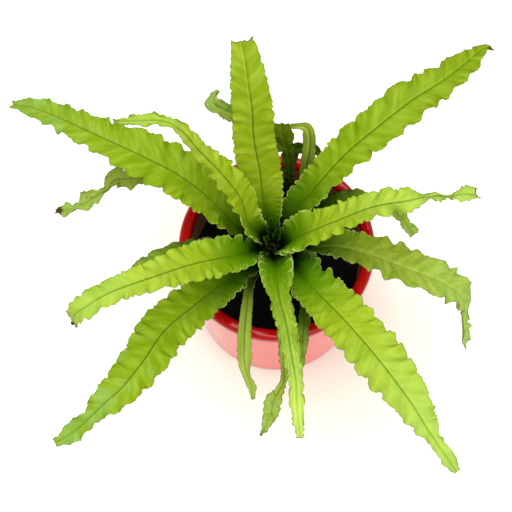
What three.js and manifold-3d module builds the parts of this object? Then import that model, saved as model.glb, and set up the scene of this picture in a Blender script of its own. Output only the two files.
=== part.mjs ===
// Potted birds nest fern: a round glazed pot, its soil, a scaly crown and the fronds that grow from it.
// Millimetres, +Z up. The origin is the middle of the pot's flat underside; the plant's front is -Y.
import * as THREE from "three";
import { mergeVertices } from "three/addons/utils/BufferGeometryUtils.js";
import Module from "manifold-3d";

// Pot
const POT_HEIGHT = 135;
const RIM_RADIUS = 75; // outside of the rolled rim
const MOUTH_RADIUS = 66; // inside of the rim
const BODY_RADIUS_TOP = 73.2; // wall just under the rim
const BODY_RADIUS_FOOT = 69.5;
const FOOT_RADIUS = 65; // flat ring the pot stands on
const RIM_DEPTH = 11;
const FLOOR = 8;
const POT_SIDES = 48;

// Soil and crown
const GAP = 0.3; // clearance between neighbouring pieces
const SOIL_LEVEL = 100;
const SOIL_UNEVEN = 1.6; // height of the lumps in its surface
const CROWN_X = -3;
const CROWN_Y = 2;
const CROWN_RADIUS = 17.5;
const CROWN_TOP = 126;
const CROWN_PLUG_RADIUS = 10; // part of the crown that stands in the soil
const CROWN_PLUG_DEPTH = 26;
// Curled new shoots on top of the crown: place from its axis, and radius
const SHOOTS = [[-3, -3, 2.2], [1.8, -4, 2.1], [0.4, -0.4, 2.4], [4, -0.9, 1.8]];

// Blades
const MARGIN_THICKNESS = 1.15;
const RIB_THICKNESS = 1.7; // through the midrib, at mid length
const STALK_THICKNESS = 3.2;
const BASE_FOLD = 36; // degrees each half of a blade is raised by, at its base
const OPEN_FOLD = 9; // and further out
const STEPS_PER_WAVE = 3;
const CURVE_STEPS = 240;

// Greens by age
const LEAF = 0x9abf32;
const LEAF_BRIGHT = 0xa9cc3c;
const LEAF_DARK = 0x6f8f2a;
const LEAF_OLD = 0x8a9c42;
const LEAF_YOUNG = 0x4f7d2c;

// Each frond lies along the direction `azimuth` (degrees from +X) from the crown. A row of its spine is how
// far out, how high, how far to the left, the blade's width there and, where it twists, its roll in degrees.
// `waves` counts the waves of its margin, `ruffle` is how far a wave rises from the blade and `scallop` the
// share of a half width by which the margin goes in and out.
const FRONDS = [
  { name: "frond_inner_back", azimuth: 100, waves: 18, ruffle: 0.8, scallop: 0.03, seed: 1,
    green: LEAF_BRIGHT, spine: [[10, 114, 0, 4], [16, 136, 1, 19], [23, 152, 3, 28], [34.1, 190, 3.1, 31.5],
    [43.2, 224, 5.1, 29.4], [52.9, 249, 4.1, 27.8], [63.3, 264, 4.1, 25], [75.1, 273, 3.8, 20.6],
    [87.7, 278, 4.1, 14.2]] },
  { name: "frond_inner_left_back", azimuth: 155, waves: 13, ruffle: 2.4, scallop: 0.1, seed: 2,
    green: LEAF_BRIGHT, spine: [[8, 118, -2, 4], [13, 140, 0, 15.5], [18, 163, 3.6, 19],
    [25.3, 193, -0.9, 24], [38.3, 220, -2, 19.5], [54.2, 243, -2.3, 13.2], [65.4, 257, -4.3, 9],
    [77.7, 263, -3.4, 8], [92.5, 263, 2.9, 8.5], [110, 256, 8, 2]] },
  { name: "frond_inner_left_front", azimuth: -148, waves: 19, ruffle: 1.8, scallop: 0.07, seed: 3,
    green: LEAF_BRIGHT, spine: [[8, 118, 0, 4], [14.6, 136, 0.3, 14], [23.8, 152, 2.8, 20.2],
    [42.1, 173, 4.1, 28], [65.7, 195, 3.6, 29], [95.6, 218, 4.8, 21.5], [123.9, 228, 2.8, 16.7],
    [142.1, 228, 2.9, 17], [151.4, 221, 1.9, 12.9], [154, 210, 4.7, 3.9]] },
  { name: "frond_inner_front", azimuth: -84, waves: 16, ruffle: 2.8, scallop: 0.11, seed: 4,
    green: LEAF_BRIGHT, spine: [[8, 118, -2, 4], [15.1, 136, -0.3, 15], [24.1, 151, 0.1, 21.5],
    [42.4, 172, -1.2, 20.2], [61.7, 190, -1.2, 14.2], [86, 212, 0.3, 12.8], [108.1, 229, 0.7, 11.1],
    [128, 240, 1.2, 8.7], [146, 243, 0, 7.8], [162.6, 238, -0.1, 4.2]] },
  { name: "frond_inner_right", azimuth: -8, waves: 15, ruffle: 2.4, scallop: 0.09, seed: 5,
    green: LEAF_BRIGHT, spine: [[8, 118, -2, 4, 0], [11, 136, -2, 16.5, 0], [16, 155, -4, 25, 0],
    [26, 177, -5, 27, 0], [45, 204, -3.4, 23.3, 0], [67, 227, 0.6, 20.5, 0], [88, 239, 3, 17, 5],
    [101, 243, 5.9, 3.9, 80], [107.3, 243, 7.5, 7.1, 55], [115.2, 242, 8.3, 3.2, 80],
    [123.7, 240, 12.4, 9.8, 10], [133.4, 236, 15.5, 7.9, 0]] },
  { name: "frond_middle_left_back", azimuth: 157, waves: 16, ruffle: 2.6, scallop: 0.08, seed: 6,
    green: LEAF, spine: [[10.5, 113, 0, 4, 0], [30.6, 140, 0.6, 25, 0], [46.5, 160, -2.2, 35, 0],
    [72.9, 188, -2.4, 37, 4], [101.6, 203, -0.6, 37.3, 8], [132.4, 208, -0.6, 27.5, 8],
    [163.6, 205, -3.5, 21.5, 8], [189.1, 200, -5.4, 15.9, 4], [208.6, 193, -4.3, 5.1, 0]] },
  { name: "frond_middle_left_front", azimuth: -130, waves: 18, ruffle: 2.4, scallop: 0.07, seed: 7,
    green: LEAF, spine: [[10.5, 113, 0, 4], [29, 134, -2, 24], [49.8, 148, -3.2, 30],
    [78.6, 166, -3.9, 32.6], [108.7, 182, -3.9, 34.2], [135.6, 196, 2.8, 29.7], [157.6, 202, 5.6, 25.3],
    [172.1, 203, 4.3, 19.9], [185.3, 200, 2.5, 11.6], [198.3, 195, -0.1, 14.2], [211.9, 190, -5.9, 5.2]] },
  { name: "frond_middle_right_front", azimuth: -56, waves: 18, ruffle: 2.7, scallop: 0.065, seed: 8,
    green: LEAF, spine: [[10.5, 113, 0, 4, 0], [29.1, 142, 0.1, 28, 0], [53.9, 160, -0.8, 33, -4],
    [91.8, 182, 0, 35.6, -8], [128.9, 198, -0.5, 35, -8], [161.1, 204, -1.3, 26, -6],
    [180.2, 203, -2.4, 16.6, -4], [191.3, 201, -2.4, 8.3, -2], [201, 199, -2.2, 10.8, 0],
    [213, 192, -0.9, 4.5, 0]] },
  { name: "frond_middle_right_back", azimuth: 36, waves: 16, ruffle: 2.8, scallop: 0.085, seed: 9,
    green: LEAF, spine: [[10.5, 113, 2, 4], [21, 138, 5, 22], [35, 157, 6, 25], [65, 191, 6, 28],
    [94.2, 212, 3.3, 30], [121, 222, 2, 30], [148, 226, 0, 23], [173.9, 224, 2.4, 17],
    [189.7, 221, 4.6, 5.5], [196.4, 219, 0.1, 1.2]] },
  { name: "frond_low_right", azimuth: -25, waves: 14, ruffle: 2.8, scallop: 0.06, seed: 10,
    green: LEAF_DARK, spine: [[13, 108, 2, 3.5, 0], [36, 148, 7, 16.4, 0], [53.7, 164, 8.7, 23.9, -6],
    [76.5, 175, 8.2, 29.8, -12], [100.4, 180, 7.4, 30.2, -12], [121.8, 178, 9.3, 29.4, -12],
    [139.2, 171, 9.7, 25.4, -8], [148.3, 160, 7.7, 17.2, 0], [150.2, 155, 3.5, 5.7, 0],
    [154.3, 150, -4.5, 14.4, 0], [162.2, 138, -12.4, 11.7, 0]] },
  { name: "frond_low_front_left", azimuth: -104, waves: 0, ruffle: 0, scallop: 0, seed: 11,
    green: LEAF_OLD, spine: [[12.5, 108, -4, 3.5, 0], [33.9, 128, -8.5, 6.8, 0], [54.6, 143, -5.7, 8.1, 0],
    [80.5, 158, -0.4, 9.9, 0], [100, 166, 5, 10, 0], [111, 169, 10, 6, 50], [117.8, 169, 15, 6, 20],
    [125.5, 167, 17.8, 2, 0]] },
  { name: "frond_low_front_right", azimuth: -68, waves: 7, ruffle: 1.6, scallop: 0.14, seed: 12,
    green: LEAF_DARK, spine: [[12.5, 108, 0, 3.5], [33.2, 126, 5.6, 6.1], [51.7, 138, 4.2, 7.4],
    [65.9, 146, -1.2, 8.7], [77.3, 153, -7.7, 9.3], [91, 158, -14, 7], [103, 161, -19, 2]] },
  { name: "frond_low_front", azimuth: -90, waves: 7, ruffle: 1.2, scallop: 0.1, seed: 13,
    green: LEAF_OLD, spine: [[12.5, 108, 0, 3.5], [36, 128, 4, 8], [58, 140, 7, 9], [78, 150, 8, 9],
    [96.7, 158, 8.1, 6.3], [111.7, 162, 8.1, 4.9], [119.5, 162.5, 4.6, 6.9], [127.2, 163, 0.5, 12.4],
    [134.4, 161, -0.9, 10.3], [142.2, 158.5, -4.3, 6.2], [149.4, 156, -7.8, 1.4]] },
  { name: "frond_low_back", azimuth: 82, waves: 9, ruffle: 2.2, scallop: 0.2, seed: 14,
    green: LEAF_DARK, spine: [[13, 108, 3, 3.5], [36.6, 132, -2.9, 5], [46.1, 158, -5.9, 7.5],
    [51.5, 183, -4.1, 9.5], [56.6, 201, 0.4, 15.7], [62.5, 209, 2.7, 14.1]] },
  { name: "frond_low_back_narrow", azimuth: 68, waves: 0, ruffle: 0, scallop: 0, seed: 15,
    green: LEAF_OLD, spine: [[13, 108, -3.6, 3.5, 0], [38, 130, -7, 5, 0], [52, 156, -5, 8, 0],
    [58.8, 180, -5, 10.3, 0], [64, 196, -3, 10, 0], [67.1, 202, 1.3, 7.1, 30], [64.9, 203, 7.4, 4.3, 40],
    [63.4, 199, 14.4, 3.6, 30]] },
  { name: "frond_low_back_right", azimuth: 74, waves: 5, ruffle: 1.4, scallop: 0.14, seed: 16,
    green: LEAF_DARK, spine: [[13, 108, 0, 3.5], [40, 126, -1, 5], [54, 150, 2, 8], [63.8, 162, 2.4, 9.8],
    [67.5, 167, -4.3, 9], [68.2, 167, -12.6, 8.2], [65, 164, -22, 2]] },
  { name: "frond_low_left", azimuth: 170, waves: 12, ruffle: 1.8, scallop: 0.2, seed: 17,
    green: LEAF_DARK, spine: [[13, 108, -1, 3.5, 0], [58, 142, -14, 8, 0], [84, 159, -23, 11, 0],
    [102, 165, -22, 13, 0], [114.2, 167, -18.1, 17.8, 0], [122, 167, -15.9, 16.3, 15],
    [125.1, 167, -8, 5.9, 30], [131, 166, -3.3, 9.6, 0], [139.1, 163, 3.3, 14, 0],
    [146.6, 161, 7.9, 4.4, 40], [151.8, 159, 10.4, 10.4, 0], [162.4, 155, 11.4, 3, 0]] },
  { name: "frond_low_back_left", azimuth: 115, waves: 8, ruffle: 1.6, scallop: 0.16, seed: 18,
    green: LEAF_DARK, spine: [[13, 108, 0, 3.5], [36, 148, -7, 5], [54, 176, -11, 7], [71, 197, -11, 9],
    [78.5, 205, -3.7, 11], [86.6, 207, 4.1, 10.7], [92.1, 208, 3.9, 8.6], [96.6, 209, -2, 3]] },
  { name: "frond_low_right_back", azimuth: 10, waves: 12, ruffle: 1.6, scallop: 0.16, seed: 19,
    green: LEAF_DARK, spine: [[12.5, 108, 4, 3.5], [26, 134, 9, 7], [43, 155, 14, 11], [60, 167, 12, 13],
    [77.9, 171, 3.4, 10.2], [92.3, 168, -7.5, 8], [100.7, 163, -22.9, 8.8]] },
  { name: "frond_low_left_front", azimuth: -160, waves: 8, ruffle: 2, scallop: 0.14, seed: 20,
    green: LEAF_DARK, spine: [[13, 108, -2, 3.5], [26, 126, -7, 7], [43, 140, -10, 11], [62, 151, -10, 14],
    [82, 159, -8, 14], [99, 163, -4, 10], [113, 164, 0, 2]] },
  { name: "frond_young_back", azimuth: 100, waves: 5, ruffle: 1.4, scallop: 0.14, seed: 21,
    green: LEAF_YOUNG, spine: [[5, 119, 0, 2.6], [8, 132, -0.5, 6], [9.5, 144, -0.5, 7], [11, 156, -0.5, 2]] },
  { name: "frond_young_right", azimuth: 50, waves: 4, ruffle: 1.2, scallop: 0.14, seed: 22,
    green: LEAF_YOUNG, spine: [[4, 119, 0, 2.6], [4.5, 131, 0, 5], [6, 141, 0, 6], [8, 149, 0, 2]] },
  { name: "frond_young_left", azimuth: 178, waves: 4, ruffle: 1.2, scallop: 0.14, seed: 23,
    green: LEAF_YOUNG, spine: [[4, 119, 0, 2.6], [4, 129, 0, 5], [5, 138, 0, 5], [6.5, 145, 0, 2]] },
];

// Catmull-Rom curve through rows of numbers, at u from 0 to 1
function through(rows, u) {
  const last = rows.length - 1;
  const i = Math.min(Math.floor(u * last), last - 1);
  const f = u * last - i;
  const [b, c] = [rows[i], rows[i + 1]];
  const a = rows[i - 1] ?? b.map((x, k) => 2 * x - c[k]);
  const d = rows[i + 2] ?? c.map((x, k) => 2 * x - b[k]);
  return b.map((x, k) => {
    const cubic = 3 * (x - c[k]) + d[k] - a[k];
    return x + 0.5 * f * (c[k] - a[k] + f * (2 * a[k] - 5 * x + 4 * c[k] - d[k] + f * cubic));
  });
}

// The spine at even steps of length, each with its frame: T along the frond, S to its left, N out of the blade
function spineOf(frond) {
  const turn = THREE.MathUtils.degToRad(frond.azimuth);
  const out = new THREE.Vector3(Math.cos(turn), Math.sin(turn), 0);
  const left = new THREE.Vector3(-Math.sin(turn), Math.cos(turn), 0);
  const place = (u) => {
    const [o, up, side, width, roll = 0] = through(frond.spine, u);
    const p = new THREE.Vector3(CROWN_X, CROWN_Y, up).addScaledVector(out, o).addScaledVector(left, side);
    return { p, width, roll };
  };
  const fine = Array.from({ length: 4 * CURVE_STEPS + 1 }, (_, i) => place(i / (4 * CURVE_STEPS)));
  const run = [0];
  for (let i = 1; i < fine.length; i++) run.push(run[i - 1] + fine[i].p.distanceTo(fine[i - 1].p));
  const length = run[run.length - 1];
  const rows = [];
  for (let i = 0, k = 0; i <= CURVE_STEPS; i++) {
    const want = (length * i) / CURVE_STEPS;
    while (k < fine.length - 2 && run[k + 1] < want) k++;
    const f = (want - run[k]) / (run[k + 1] - run[k]);
    const [a, b] = [fine[k], fine[k + 1]];
    rows.push({
      p: a.p.clone().lerp(b.p, f),
      width: a.width + f * (b.width - a.width),
      roll: a.roll + f * (b.roll - a.roll),
    });
  }
  let side = left.clone();
  rows.forEach((row, i) => {
    row.T = rows[Math.min(i + 1, CURVE_STEPS)].p.clone().sub(rows[Math.max(i - 1, 0)].p).normalize();
    side = side.clone().addScaledVector(row.T, -side.dot(row.T)).normalize();
    row.side = side;
  });
  return { rows, length };
}

// A place on the frond: t from 0 (in the crown) to 1 (tip)
function stationAt(spine, t) {
  const x = Math.min(Math.max(t, 0), 1) * CURVE_STEPS;
  const i = Math.min(Math.floor(x), CURVE_STEPS - 1);
  const f = x - i;
  const [a, b] = [spine.rows[i], spine.rows[i + 1]];
  const p = a.p.clone().lerp(b.p, f);
  const T = a.T.clone().lerp(b.T, f).normalize();
  const S = a.side.clone().lerp(b.side, f);
  S.addScaledVector(T, -S.dot(T)).normalize();
  S.applyAxisAngle(T, THREE.MathUtils.degToRad(a.roll + f * (b.roll - a.roll)));
  return { p, T, S, N: T.clone().cross(S), width: a.width + f * (b.width - a.width) };
}

const smooth = (x) => { const c = Math.min(Math.max(x, 0), 1); return c * c * (3 - 2 * c); };
const STALK_SHARE = 0.1; // part of the length before the margin starts to wave
const CROWDING = 0.87; // under 1 the waves are shorter near the base

// How far the margin of a side (1 left, -1 right) leaves the blade's own surface, and its scallop
function waveOf(frond, t, side) {
  if (!frond.waves || t <= STALK_SHARE) return { lift: 0, scallop: 0 };
  const x = (t - STALK_SHARE) / (1 - STALK_SHARE);
  const phase = frond.waves * Math.pow(x, CROWDING) + (side > 0 ? 0 : 0.25);
  const uneven = 0.8 + 0.25 * Math.sin(1.9 * phase + 1.3 * frond.seed + side);
  const size = smooth(x / 0.12) * (1 - 0.5 * smooth((x - 0.7) / 0.3)) * uneven;
  const notch = smooth(x / 0.1) * (1 + 0.5 * smooth((x - 0.5) / 0.4)) * uneven;
  return {
    lift: frond.ruffle * size * Math.sin(2 * Math.PI * phase),
    scallop: -frond.scallop * notch * Math.cos(2 * Math.PI * phase),
  };
}

// Six corners of the blade's section: left margin, midrib, right margin, and the same underneath
function sectionAt(frond, spine, t, swell = 0) {
  const { p, S, N, width } = stationAt(spine, t);
  const open = smooth((t - 0.08) / 0.4);
  const fold = THREE.MathUtils.degToRad(BASE_FOLD + (OPEN_FOLD - BASE_FOLD) * open);
  const stalk = 1 - smooth((t - 0.02) / 0.25);
  const margin = MARGIN_THICKNESS + (STALK_THICKNESS * 0.7 - MARGIN_THICKNESS) * stalk * stalk;
  const rib = (RIB_THICKNESS - 0.5 * smooth((t - 0.5) / 0.5)) * (1 - stalk) + STALK_THICKNESS * stalk;
  const edge = (side) => {
    const { lift, scallop } = waveOf(frond, t, side);
    const half = (width / 2) * (1 + scallop) + swell;
    const rise = half * Math.sin(fold) + lift;
    return p.clone().addScaledVector(S, side * half * Math.cos(fold)).addScaledVector(N, rise);
  };
  const top = [edge(1), p.clone(), edge(-1)].map((q) => q.addScaledVector(N, swell));
  const under = top.map((q, i) => q.clone().addScaledVector(N, -(i === 1 ? rib : margin) - 2 * swell));
  return [...top, ...under];
}

// Solid of a frond, from its root to `end`; a swollen one is the room it needs in the crown
function frondGeometry(frond, end = 1, swell = 0) {
  const spine = spineOf(frond);
  const stations = [swell ? -0.5 / spine.length : 0, 0.03, 0.065];
  const steps = frond.waves ? frond.waves * STEPS_PER_WAVE : 12;
  for (let k = 0; k <= steps; k++) {
    const phase = frond.waves ? Math.pow(k / steps, 1 / CROWDING) : k / steps;
    stations.push(STALK_SHARE + (1 - STALK_SHARE) * phase);
  }
  const used = stations.filter((t) => t <= end);
  const points = used.flatMap((t) => {
    const shift = t < 0 ? stationAt(spine, 0).T.multiplyScalar(t * spine.length) : new THREE.Vector3();
    return sectionAt(frond, spine, t, swell).map((q) => q.add(shift));
  });
  const index = [];
  const quad = (a, b, c, d) => index.push(a, b, c, a, c, d);
  for (let i = 0; i < used.length - 1; i++) {
    const a = 6 * i;
    const b = a + 6;
    quad(a, a + 1, b + 1, b);
    quad(a + 1, a + 2, b + 2, b + 1);
    quad(a + 3, b + 3, b + 4, a + 4);
    quad(a + 4, b + 4, b + 5, a + 5);
    quad(a, b, b + 3, a + 3);
    quad(a + 2, a + 5, b + 5, b + 2);
  }
  const z = 6 * (used.length - 1);
  quad(0, 3, 4, 1);
  quad(1, 4, 5, 2);
  quad(z, z + 1, z + 4, z + 3);
  quad(z + 1, z + 2, z + 5, z + 4);
  return new THREE.BufferGeometry().setFromPoints(points).setIndex(index);
}

// Pot: one turned wall with a rolled rim, a rounded foot and a flat underside
function potGeometry() {
  const roll = RIM_RADIUS - MOUTH_RADIUS;
  const profile = [
    [0, 0], [FOOT_RADIUS, 0], [FOOT_RADIUS + 3, 1.2], [BODY_RADIUS_FOOT, 5],
    [BODY_RADIUS_TOP, POT_HEIGHT - RIM_DEPTH - 3], [RIM_RADIUS - 0.5, POT_HEIGHT - RIM_DEPTH],
    [RIM_RADIUS, POT_HEIGHT - 4], [RIM_RADIUS - 1.2, POT_HEIGHT - 1.2], [RIM_RADIUS - 3.2, POT_HEIGHT],
    [MOUTH_RADIUS + 0.35 * roll, POT_HEIGHT - 0.4], [MOUTH_RADIUS + 1, POT_HEIGHT - 2.2],
    [MOUTH_RADIUS, POT_HEIGHT - 5], [MOUTH_RADIUS - 0.5, POT_HEIGHT - RIM_DEPTH - 4],
    [BODY_RADIUS_FOOT - 7, FLOOR + 6], [BODY_RADIUS_FOOT - 12, FLOOR], [0, FLOOR],
  ];
  const geometry = new THREE.LatheGeometry(profile.map(([r, z]) => new THREE.Vector2(r, z)), POT_SIDES);
  return geometry.rotateX(Math.PI / 2);
}

// Inside radius of the pot at a height
function boreAt(z) {
  const [low, high] = [FLOOR + 6, POT_HEIGHT - RIM_DEPTH - 4];
  const f = (z - low) / (high - low);
  return BODY_RADIUS_FOOT - 7 + f * (MOUTH_RADIUS - 0.5 - (BODY_RADIUS_FOOT - 7));
}

const lumps = (x, y) =>
  SOIL_UNEVEN * (0.5 * Math.sin(0.19 * x + 1) * Math.cos(0.17 * y) + 0.5 * Math.sin(0.31 * y + 0.12 * x + 2));

const wasm = await Module();
wasm.setup();
const { Manifold, Mesh } = wasm;

function toSolid(geometry) {
  const bare = geometry.clone();
  bare.deleteAttribute("normal");
  bare.deleteAttribute("uv");
  const g = mergeVertices(bare, 1e-4);
  const vertProperties = g.attributes.position.array;
  return new Manifold(new Mesh({ numProp: 3, vertProperties, triVerts: g.index.array }));
}

function toGeometry(solid) {
  const m = solid.getMesh();
  const geometry = new THREE.BufferGeometry();
  geometry.setAttribute("position", new THREE.BufferAttribute(new Float32Array(m.vertProperties), 3));
  return geometry.setIndex(Array.from(m.triVerts));
}

// Soil: fills the pot, lumpy on top, with a plain hole for the crown
function soilGeometry() {
  const clear = GAP / Math.cos(Math.PI / POT_SIDES);
  const top = boreAt(SOIL_LEVEL) - clear;
  const rings = [BODY_RADIUS_FOOT - 12 - 1, BODY_RADIUS_FOOT - 7 - clear, top, 52, 38, 24];
  const heights = [FLOOR + GAP, FLOOR + 6.5, SOIL_LEVEL - 1, SOIL_LEVEL, SOIL_LEVEL, SOIL_LEVEL];
  const profile = [[0, FLOOR + GAP], ...rings.map((r, i) => [r, heights[i]]), [0, SOIL_LEVEL]];
  const geometry = new THREE.LatheGeometry(profile.map(([r, z]) => new THREE.Vector2(r, z)), POT_SIDES / 2);
  geometry.rotateX(Math.PI / 2);
  const at = geometry.attributes.position;
  for (let i = 0; i < at.count; i++) {
    const reach = Math.hypot(at.getX(i), at.getY(i));
    if (at.getZ(i) > SOIL_LEVEL - 2 && reach > 30) at.setZ(i, at.getZ(i) + lumps(at.getX(i), at.getY(i)));
  }
  const hole = Manifold.cylinder(CROWN_PLUG_DEPTH + 20, CROWN_PLUG_RADIUS + GAP, CROWN_PLUG_RADIUS + GAP, 24)
    .translate(CROWN_X, CROWN_Y, SOIL_LEVEL - CROWN_PLUG_DEPTH - GAP);
  return toGeometry(toSolid(geometry).subtract(hole));
}

// Crown: a squat stub with curled new shoots on top, and a socket for every frond
function crownGeometry() {
  const profile = [
    [0, SOIL_LEVEL - CROWN_PLUG_DEPTH], [CROWN_PLUG_RADIUS, SOIL_LEVEL - CROWN_PLUG_DEPTH],
    [CROWN_PLUG_RADIUS, SOIL_LEVEL + GAP], [CROWN_RADIUS, SOIL_LEVEL + GAP],
    [CROWN_RADIUS + 0.5, SOIL_LEVEL + 6], [CROWN_RADIUS - 1.5, SOIL_LEVEL + 15],
    [CROWN_RADIUS - 6, CROWN_TOP - 4], [6, CROWN_TOP - 1], [0, CROWN_TOP],
  ];
  const geometry = new THREE.LatheGeometry(profile.map(([r, z]) => new THREE.Vector2(r, z)), 24);
  let crown = toSolid(geometry.rotateX(Math.PI / 2));
  for (const [x, y, size] of SHOOTS)
    crown = crown.add(Manifold.sphere(size, 12).scale([1, 1, 1.25]).translate(x, y, CROWN_TOP + 0.4));
  crown = crown.translate(CROWN_X, CROWN_Y, 0);
  for (const frond of FRONDS) crown = crown.subtract(toSolid(frondGeometry(frond, 0.45, GAP + 0.05)));
  return toGeometry(crown);
}

const group = new THREE.Group();
group.name = "potted_birds_nest_fern";

function add(name, geometry, color, roughness) {
  const material = new THREE.MeshStandardMaterial({ color, roughness, metalness: 0 });
  material.name = name;
  const mesh = new THREE.Mesh(geometry, material);
  mesh.name = name;
  group.add(mesh);
}

add("pot", potGeometry(), 0xc3101c, 0.2);
add("soil", soilGeometry(), 0x241a12, 0.95);
add("crown", crownGeometry(), 0x3a2a1a, 0.9);
for (const frond of FRONDS) add(frond.name, frondGeometry(frond), frond.green, 0.5);

export default group;
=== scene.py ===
# Potted birds nest fern: the finish of its fronds, crown, soil and glazed pot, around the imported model.
# Sizes in this script are millimetres until MM turns them into Blender's metres.
import math
from functools import partial

import bpy
import numpy as np
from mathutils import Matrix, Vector


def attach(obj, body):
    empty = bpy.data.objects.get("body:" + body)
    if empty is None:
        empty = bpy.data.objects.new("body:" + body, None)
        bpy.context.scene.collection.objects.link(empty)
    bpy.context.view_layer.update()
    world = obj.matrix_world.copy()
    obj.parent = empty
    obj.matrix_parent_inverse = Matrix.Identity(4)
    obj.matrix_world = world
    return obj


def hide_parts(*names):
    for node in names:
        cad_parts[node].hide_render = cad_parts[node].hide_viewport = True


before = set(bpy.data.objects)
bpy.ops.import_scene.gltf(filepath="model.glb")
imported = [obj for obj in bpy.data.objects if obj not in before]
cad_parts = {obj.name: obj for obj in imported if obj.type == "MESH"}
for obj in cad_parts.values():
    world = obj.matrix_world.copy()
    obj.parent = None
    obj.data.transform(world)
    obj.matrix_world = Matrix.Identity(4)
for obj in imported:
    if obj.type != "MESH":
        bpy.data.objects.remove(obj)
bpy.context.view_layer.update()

MM = 0.001

# Camera: it stands in front of the pot and looks steeply down on it
CAMERA_PLACE = (0, -234.8, 794.4)
CAMERA_DOWN = 71.15  # degrees below the horizon
CAMERA_LENS = 64.8
CAMERA_SHIFT = -0.0404  # the pot stands right of the picture's middle

# Light and floor
SKY_COLOUR = 0xFBFDFF
SKY_STRENGTH = 0.54
LIGHTS = {
    "window_light": dict(place=(-330, 180, 1560), size=1600, watts=26.8, colour=0xFFFEFA),
    "fill_light": dict(place=(600, -800, 1150), size=1300, watts=13.5, colour=0xFFF8EE),
}
LIGHTS_AIM = 150  # height in the plant that both lights face
FLOOR_HALF = 3000

# Pot
POT_HEIGHT = 135
RIM_RADIUS = 75
MOUTH_RADIUS = 66
BODY_RADIUS_TOP = 73.2
BODY_RADIUS_FOOT = 69.5
FOOT_RADIUS = 65
RIM_DEPTH = 11
FLOOR = 8
POT_SIDES = 192
WALL_STEPS = 24  # rings of faces up the outer wall
INNER_STEPS = 20
GLAZE_INSIDE = 6  # how far the glaze runs down inside the mouth

# Soil and crown
GAP = 0.3
SOIL_LEVEL = 100
SOIL_UNEVEN = 1.6
SOIL_SIDES = 120
CRUMBS_PER_SQUARE_METRE = 130000.0
CROWN_X = -3
CROWN_Y = 2
CROWN_RADIUS = 17.5
CROWN_TOP = 126
CROWN_PLUG_RADIUS = 10
CROWN_PLUG_DEPTH = 26
CROWN_SIDES = 48
SCALES_PER_SQUARE_METRE = 230000.0
# Curled new shoots: x and y from the crown's middle, and size
SHOOTS = [(-3, -3, 2.2), (1.8, -4, 2.1), (0.4, -0.4, 2.4), (4, -0.9, 1.8)]

# Blades
MARGIN_THICKNESS = 0.75
RIB_THICKNESS = 1.7
STALK_THICKNESS = 3.2
BASE_FOLD = 36  # degrees each half of a blade is raised by, at its base
OPEN_FOLD = 9  # and further out
STALK_SHARE = 0.1  # of the length, below the first wave
CROWDING = 0.87  # below 1, the waves get shorter towards the base
CURVE_STEPS = 240
STATION_SPACING = 0.6  # along a blade, between its rows of points
BLADE_COLUMNS = 30.0
NARROW_COLUMNS = 16.0
NARROW = 16  # a blade no wider than this gets the smaller number of columns
CURL = 0.5  # lip of the margin
FRILL_SPACING = 6.3
TOOTH_SPACING = 3.2
WAVE_DRIFT = 22  # over which the waves gain or lose on each other

# Leaf finishes
LEAF_MOTTLE = 16
SHADE_WANDER = 20  # by how much the shade of the base reaches further or less far
VEIN_SPACING = 1.6
PAINTED_SHEEN_PATCH = 11
BLOTCH_SIZE = 2.2
PAINTED_SHEEN = 0x86B860
WITHERED = 0x463218
UNDERSIDE = 0x8AA444
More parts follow.
